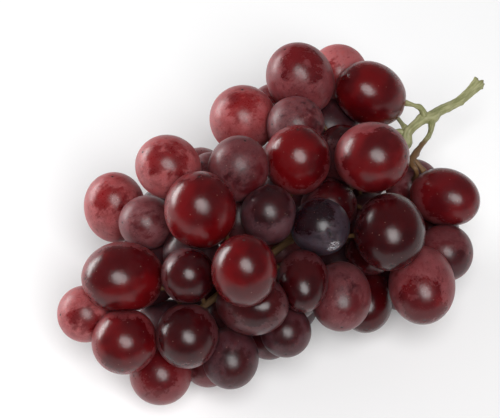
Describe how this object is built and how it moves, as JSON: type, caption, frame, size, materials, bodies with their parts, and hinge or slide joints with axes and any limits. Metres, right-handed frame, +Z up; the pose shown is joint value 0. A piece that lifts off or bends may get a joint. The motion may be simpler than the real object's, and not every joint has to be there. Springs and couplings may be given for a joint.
{
  "type": "bunch of grapes",
  "caption": "Bunch of red table grapes lying on its side, with round and egg-shaped berries pressed together on a branching green stem with a flared cut stalk.",
  "frame": {"origin": "the middle of the bunch's footprint on the surface that it lies on", "axes": "+X along the bunch from its tip to the cut end of the stalk, +Z up"},
  "size_m": [0.172, 0.109, 0.0742],
  "materials": {
    "grape_skin": "glossy red skin under a pale waxy bloom",
    "green_stem": "matt green"
  },
  "bodies": {
    "root": {"stem": "green_stem", "berries_tip": "grape_skin", "berries_tip_under": "grape_skin", "berries_far_tip": "grape_skin", "berries_far": "grape_skin", "berries_crest": "grape_skin", "berries_front": "grape_skin", "berries_near": "grape_skin", "berries_back": "grape_skin", "berries_crown": "grape_skin", "berries_wing": "grape_skin", "berries_under": "grape_skin"}
  },
  "joints": []
}
